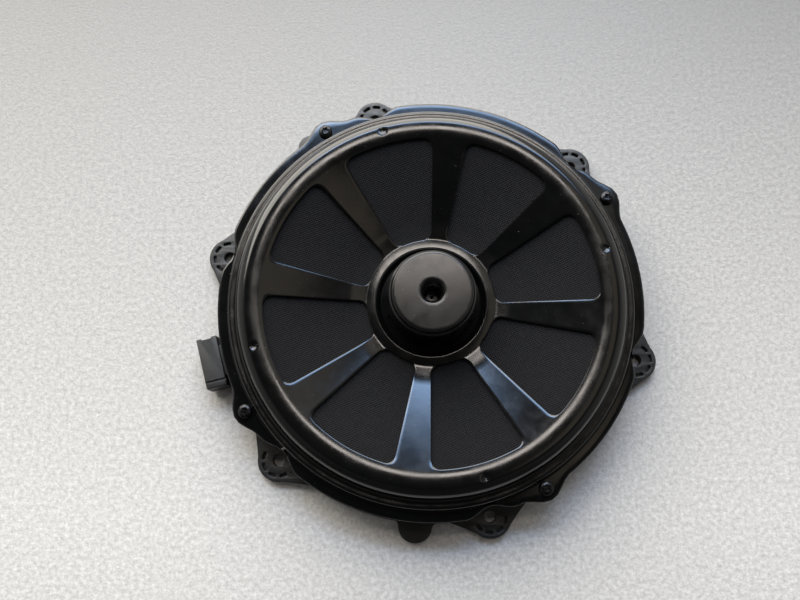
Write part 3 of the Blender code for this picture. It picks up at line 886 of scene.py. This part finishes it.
def arc_slot(centre, radius, width, start, end):
    """The outline of a slot with round ends that follows an arc round an ear's hole."""
    points = []
    for side in (1, -1):
        turns = np.linspace(start, end, 7)[::side]
        for turn in turns:
            x, y = polar(radius + side * width / 2, turn)
            points.append((centre[0] + x, centre[1] + y))
        tip = polar(radius, turns[-1] + side * math.degrees(width * 0.3 / radius))
        points.append((centre[0] + tip[0], centre[1] + tip[1]))
    return points


def wall_step(degrees):
    """How far the ring's wall steps in behind an ear."""
    return -5.0 * max(bump(degrees, angle, 8.5) for angle in EARS)


def build_mounting_ring():
    outline = base_outline()
    inner = circle(RING_INNER_R, 240)
    holes = [circle(3.3, 40, polar(EAR_PITCH_R, angle)) for angle in EARS]
    slots = []
    for angle in EARS:
        for middle in (angle - 63, angle - 21, angle + 21, angle + 63):
            slots.append(arc_slot(polar(EAR_PITCH_R, angle), 8.9, 1.7, middle - 12, middle + 12))
    pieces = [
        slab("top_layer", [outline, inner, *holes, *slots], 3.2, BASE_TOP, 0.45),
        slab("middle_layer", [outline, inner, *holes], 1.6, 3.5, 0.3),
        slab("outer_lip", [outline, circle(121.8, 240), *holes], 0, 1.9, 0.35),
        slab("inner_lip", [circle(117.6, 240), inner], 0, 1.9, 0.35),
    ]
    section = soften(
        [
            (122.2, BASE_TOP - 0.5, 0, 1),
            (122.2, BASE_TOP + 0.6, 0.3, 1),
            (122.0, RING_TOP - 3.0, 0.3, 1),
            (122.6, RING_TOP - 2.4, 0.3, 1),
            (122.6, RING_TOP, 0.5, 1),
            (RING_INNER_R, RING_TOP, 0.4, 0),
            (RING_INNER_R, RING_TOP - 2.8, 0.4, 0),
            (119.2, RING_TOP - 2.8, 0.6, 1),
            (119.4, BASE_TOP - 0.5, 0, 1),
        ],
        closed=True,
    )
    pieces.append(turned("wall", section, 480, shift=wall_step))
    for angle in SCREWS:
        high, low = RING_TOP - 0.1, BASE_TOP - 1
        boss = soften([(0, high, 0), (5.2, high, 0.5), (5.5, low, 0.2), (0, low, 0)])
        pieces.append(turned("boss", boss, 48, polar(SCREW_PITCH_R, angle)))
    ring = join("mounting_ring_moulding", *pieces)
    finish(ring, "filled_plastic", "mounting_ring")

    seal = [(118.0, 1.3, 0.3), (121.4, 1.3, 0.3), (121.4, 0.02, 0.3), (118.0, 0.02, 0.3)]
    seal = soften(seal, closed=True)
    finish(turned("seal_strip", seal, 240), "foam", "seal_gasket")
    low, high = (corner.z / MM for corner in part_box("surround_gasket"))
    gasket = [(113.2, high, 0.3), (114.4, high, 0.3), (114.4, low, 0.3), (113.2, low, 0.3)]
    gasket = soften(gasket, closed=True)
    finish(turned("surround_seal", gasket, 160), "foam", "surround_gasket")


# ---------------------------------------------------------------- moving parts


def cone_height(radius):
    return 10.9 + 0.15 * (radius - SPIDER_INNER_R)


def build_cone():
    rear = [(r, cone_height(r)) for r in np.linspace(SPIDER_INNER_R, 91.0, 40)]
    cone = turned("cone_paper", shell_section(rear, 1.5), 200)
    for k in (1, 2):
        low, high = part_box(f"cone_eyelet_{k}")
        spot = ((low.x + high.x) / 2 / MM - AXIS_X, (low.y + high.y) / 2 / MM - AXIS_Y)
        cut(cone, turned("hole", [(0, 30), (1.35, 30), (1.35, 10), (0, 10)], 20, spot))
        rear_face, front_face = high.z / MM - 0.5, low.z / MM + 0.5
        section = soften(
            [
                (0.0, high.z / MM - 0.35, 0),
                (0.8, high.z / MM - 0.35, 0.2),
                (1.3, high.z / MM, 0.3),
                (2.4, rear_face + 0.1, 0.3),
                (2.4, rear_face, 0.05),
                (1.1, rear_face, 0.1),
                (1.1, front_face, 0.1),
                (2.4, front_face, 0.05),
                (2.4, front_face - 0.1, 0.3),
                (1.3, low.z / MM, 0.3),
                (0.0, low.z / MM, 0),
            ]
        )
        eyelet = turned(f"eyelet_{k}", section, 40, spot)
        finish(eyelet, "tinned_brass", f"cone_eyelet_{k}", "cone_assembly")
    finish(cone, "cone_pulp", "cone", "cone_assembly")
    cap = [(r, 7.8 + 2.6 * (r / 29.5) ** 2) for r in np.linspace(0.0, 29.5, 24)]
    under = [(r, z - 1.0) for r, z in cap]
    section = [*cap, (29.8, cap[-1][1] - 0.5), *under[::-1]]
    finish(turned("dust_cap_dome", section, 160), "cap_pulp", "dust_cap", "cone_assembly")


def build_suspension():
    """The half-roll surround, and the corrugated spider with its support ring."""
    start, end = (ROLL_INNER_R, cone_height(ROLL_INNER_R) + 1.4), (ROLL_OUTER_R, ROLL_RIM_Z)
    roll = [(87.6, cone_height(87.6) + 1.4), (89.6, cone_height(89.6) + 1.4)]
    for k in range(25):
        turn = math.pi * k / 24
        along = 0.5 - 0.5 * math.cos(turn)
        chord = start[1] + (end[1] - start[1]) * along
        roll.append((start[0] + (end[0] - start[0]) * along, chord + 8.0 * math.sin(turn)))
    roll += [(radius, ROLL_RIM_Z) for radius in (110.0, 112.4, 114.6)]
    surround = turned("surround_roll", shell_section(roll, 1.0), 240)
    finish(surround, "surround_rubber", "surround", None)
    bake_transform(surround)

    wave = []
    for k in range(121):
        along = k / 120
        rise = 9.1 * along**1.6
        fade = math.sin(math.pi * min(1, along * 5) / 2) * math.sin(math.pi * min(1, (1 - along) * 5) / 2)
        radius = SPIDER_INNER_R + (SPIDER_OUTER_R - SPIDER_INNER_R) * along
        wave.append((radius, 13.6 + rise - 0.75 * fade * math.sin(2 * math.pi * 5 * along)))
    wave += [(54.5, 22.7), (57.2, 22.7)]
    spider = turned("spider_disc", shell_section(wave, 0.6), 160)
    finish(spider, "spider_cloth", "spider", None)
    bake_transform(spider)

    low, high = (corner.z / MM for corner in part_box("spider_support"))
    section = [(53.4, low, 0.2), (57.6, low, 0.3), (57.6, high - 0.1, 0.3), (53.4, high - 1.1, 0.3)]
    support = turned("spider_ring", soften(section, closed=True), 128)
    finish(support, "filled_plastic", "spider_support")


def tube(name, path, radius):
    """A round tube along a path, closed at its ends."""
    sides = 12
    path = np.array(path, float)
    along = np.gradient(path, axis=0)
    along /= np.linalg.norm(along, axis=1)[:, None]
    vertices, faces = [], []
    for spot, way in zip(path, along):
        side = np.cross(way, (0.0, 0.0, 1.0))
        side /= np.linalg.norm(side)
        up = np.cross(side, way)
        for k in range(sides):
            turn = 2 * math.pi * k / sides
            vertices.append(spot + radius * (math.cos(turn) * side + math.sin(turn) * up))
    for j in range(len(path) - 1):
        for k in range(sides):
            after = (k + 1) % sides
            faces.append((j * sides + k, (j + 1) * sides + k, (j + 1) * sides + after, j * sides + after))
    faces.append(tuple(range(sides))[::-1])
    faces.append(tuple(range(len(vertices) - sides, len(vertices))))
    return smooth(outward(object_from(name, vertices, faces)), 50)


# Each contact blade's place along the rim, and its underside.
BLADES = [(5.0, 6.6), (-2.0, 12.0)]


def build_leads():
    """Braided leads that hang in a bow from the blades to the front of the cone's eyelets."""
    start_x, end_x, bow = 112.0, 84.0, 4.0
    end_z = cone_height(end_x) - 4.1
    for k, (y, blade_z) in enumerate(BLADES):
        start_z = blade_z + 0.4
        path = []
        for j in range(41):
            along = j / 40
            spot = on_plug_line(start_x + (end_x - start_x) * along, y)
            height = start_z + (end_z - start_z) * along - bow * math.sin(math.pi * along)
            path.append((*spot, height))
        lead = tube(f"tinsel_braid_{k + 1}", path, 0.65)
        finish(lead, "braid", f"tinsel_lead_{k + 1}", None)
        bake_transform(lead)


# ---------------------------------------------------------------- plug

PLUG_X, PLUG_Y, PLUG_Z = (125.9, 138.0), (-15.0, 15.0), (1.4, 16.6)
SOCKET_X, SOCKET_Y, SOCKET_Z = (127.4, 136.5), (-20.0, 9.0), (3.0, 15.0)


def blade_slot(y, z, x):
    """Room for a contact blade, a little larger than the blade."""
    return box("slot", x, (y - 1.7, y + 1.7), (z - 0.3, z + 1.1), rounding=0)


def build_plug():
    shroud = box("shroud", PLUG_X, PLUG_Y, PLUG_Z, rounding=0.7)
    neck = box("neck", (122.5, 126.5), (-9.0, 9.0), (5.8, 15.4), rounding=0.4)
    cut(shroud, neck, operation="UNION")
    cut(shroud, box("socket", SOCKET_X, SOCKET_Y, SOCKET_Z, rounding=0.5))
    cut(shroud, box("keyway", (129.0, 135.2), (-17.4, -13.9), (10.0, 20.0), rounding=1.0))
    cut(shroud, box("groove", (120.0, 145.0), (10.4, 12.0), (15.7, 20.0), rounding=0.2))
    cut(shroud, box("pocket", (136.9, 140.0), (-4.0, 4.0), (5.0, 13.0), rounding=0.3))
    for y, z in BLADES:
        cut(shroud, blade_slot(y, z, (118.0, 129.0)))
    finish(shroud, "plug_plastic", "connector_housing")
    board = box("terminal_block", (114.4, 118.4), (-10.0, 10.0), (5.9, 20.0), rounding=0.4)
    for y, z in BLADES:
        cut(board, blade_slot(y, z, (110.0, 122.0)))
    finish(board, "plug_plastic", "terminal_board")
    half, prong = 1.4, 132.0
    for k, (y, z) in enumerate(BLADES):
        outline = [
            (112.4, y - half + 0.5),
            (113.2, y - half),
            (prong - half, y - half),
            (prong - half, -7.6),
            (prong - 0.6, -9.0),
            (prong + 0.6, -9.0),
            (prong + half, -7.6),
            (prong + half, y + half),
            (113.2, y + half),
            (112.4, y + half - 0.5),
        ]
        blade = slab(f"blade_{k + 1}", [[on_plug_line(*point) for point in outline]], z, z + 0.8, 0.1)
        finish(blade, "tinned_brass", f"contact_blade_{k + 1}")


# ---------------------------------------------------------------- floor, light and camera


def build_floor():
    """A pale sheet with a soft grain, and painted shade that darkens it towards the far side."""
    mesh = bpy.data.meshes.new("floor")
    mesh.from_pydata([(-2, -2, 0), (2, -2, 0), (2, 2, 0), (-2, 2, 0)], [], [(0, 1, 2, 3)])
    floor = bpy.data.objects.new("floor", mesh)
    floor.location.z = -0.0002
    bpy.context.scene.collection.objects.link(floor)
    s = Surface("pale_sheet", 0.5)
    grain = s.noise(2.6, 5, 0.75)
    base = s.colour(grain, (0.34, (0.41, 0.4, 0.39)), (0.66, (0.66, 0.65, 0.635)))
    base = s.tint(base, s.ramp(s.noise(1.7, 2, 0.6), 0.0, 0.8, 0.68, 0.8), (0.95, 0.94, 0.92))
    across = s.node("ShaderNodeSeparateXYZ")
    s.link(s.place, across.inputs[0])
    # painted shade: the colour darkens towards the far side to stand in for less light falling there
    s.tint(base, s.ramp(across.outputs["Y"], 0.0, 1.0, -0.12, 0.3), (0.1, 0.1, 0.098))
    s.roughness(grain, 0.4, 0.6)
    s.bump(s.noise(1.4, 3), 0.2)
    mesh.materials.append(s.material)


def area_light(name, direction, distance, size, power, colour):
    """A soft light seen from the object in a direction (azimuth, elevation)."""
    azimuth, elevation = direction
    light = bpy.data.lights.new(name, "AREA")
    light.shape = "RECTANGLE"
    light.size, light.size_y = size
    light.energy = power
    light.color = colour
    lamp = bpy.data.objects.new(name, light)
    spot = (*polar(math.cos(math.radians(elevation)), azimuth), math.sin(math.radians(elevation)))
    lamp.location = np.array(spot) * distance
    lamp.rotation_euler = (-lamp.location).to_track_quat("-Z", "Y").to_euler()
    bpy.context.scene.collection.objects.link(lamp)


def panel(name, east, north, glow, colour, height=2.0):
    """A level light panel over the object; its sides are given as slopes seen from the object."""
    light = bpy.data.lights.new(name, "AREA")
    light.shape = "RECTANGLE"
    light.size = (east[1] - east[0]) * height
    light.size_y = (north[1] - north[0]) * height
    light.energy = glow * math.pi * light.size * light.size_y
    light.color = colour
    lamp = bpy.data.objects.new(name, light)
    lamp.location = (sum(east) / 2 * height, sum(north) / 2 * height, height)
    bpy.context.scene.collection.objects.link(lamp)


def build_lights():
    """A dim room with a dark ceiling, a wide daylight, and soft panels that the paint reflects."""
    world = bpy.data.worlds.new("studio")
    bpy.context.scene.world = world
    world.use_nodes = True
    tree = world.node_tree
    split = tree.nodes.new("ShaderNodeSeparateXYZ")
    tree.links.new(tree.nodes.new("ShaderNodeTexCoord").outputs["Generated"], split.inputs[0])
    ramp = tree.nodes.new("ShaderNodeValToRGB")
    tree.links.new(split.outputs["Z"], ramp.inputs["Fac"])
    tree.links.new(ramp.outputs["Color"], tree.nodes["Background"].inputs["Color"])
    side = tree.nodes.new("ShaderNodeMapRange")
    for socket, value in (("From Min", -0.7), ("From Max", 0.2), ("To Min", 0.12), ("To Max", 1.0)):
        side.inputs[socket].default_value = value
    tree.links.new(split.outputs["Y"], side.inputs["Value"])
    tree.links.new(side.outputs["Result"], tree.nodes["Background"].inputs["Strength"])
    stops = ((0.0, 0.8), (0.5, 0.7), (0.75, 0.45), (0.88, 0.15), (0.95, 0.03))
    elements = ramp.color_ramp.elements
    while len(elements) < len(stops):
        elements.new(0.5)
    for element, (position, glow) in zip(elements, stops):
        element.position = position
        element.color = (glow, glow * 0.98, glow * 0.95, 1)
    for k, (near, glow) in enumerate(((0.47, 1.2), (0.51, 2.2), (0.55, 3.8), (0.59, 5.4), (0.63, 4.0))):
        sides = (-0.25 - 0.02 * k, 0.45 + 0.02 * k)
        panel(f"sky_{k + 1}", sides, (near, 0.73), glow, (0.4, 0.62, 1.0), 2.0 + 0.01 * k)
    panel("shelf", (0.17, 0.33), (-0.08, 0.42), 0.6, (1.0, 0.86, 0.68))
    area_light("day", (108, 30), 1.9, (2.9, 1.9), 125, (1.0, 0.955, 0.87))
    panel("lamp", (-0.09, 0.13), (0.25, 0.35), 13.0, (1.0, 0.92, 0.85))


def build_camera():
    """A camera nearly over the object, a little to its near side and turned by half a degree."""
    camera = bpy.data.cameras.new("camera")
    camera.sensor_width = 36.0
    camera.lens = 36.0
    camera.clip_start = 0.01
    eye = bpy.data.objects.new("camera", camera)
    bpy.context.scene.collection.objects.link(eye)
    spot = Vector(((AXIS_X - 17.9) * MM, (AXIS_Y - 92.4) * MM, 478.9 * MM))
    target = Vector(((AXIS_X - 17.9) * MM, (AXIS_Y + 6.5) * MM, 0))
    forward = (target - spot).normalized()
    right = forward.cross(Vector((0, 0, 1))).normalized()
    up = right.cross(forward)
    roll = math.radians(-0.52)
    right, up = right * math.cos(roll) + up * math.sin(roll), up * math.cos(roll) - right * math.sin(roll)
    eye.matrix_world = Matrix(
        (
            (right.x, up.x, -forward.x, spot.x),
            (right.y, up.y, -forward.y, spot.y),
            (right.z, up.z, -forward.z, spot.z),
            (0, 0, 0, 1),
        )
    )
    bpy.context.scene.camera = eye


build_basket()
build_dust_screen()
build_motor()
build_screws()
build_mounting_ring()
build_cone()
build_suspension()
build_leads()
build_plug()
build_floor()
build_lights()
build_camera()

bpy.context.scene.view_settings.view_transform = "Standard"
bpy.context.view_layer.update()
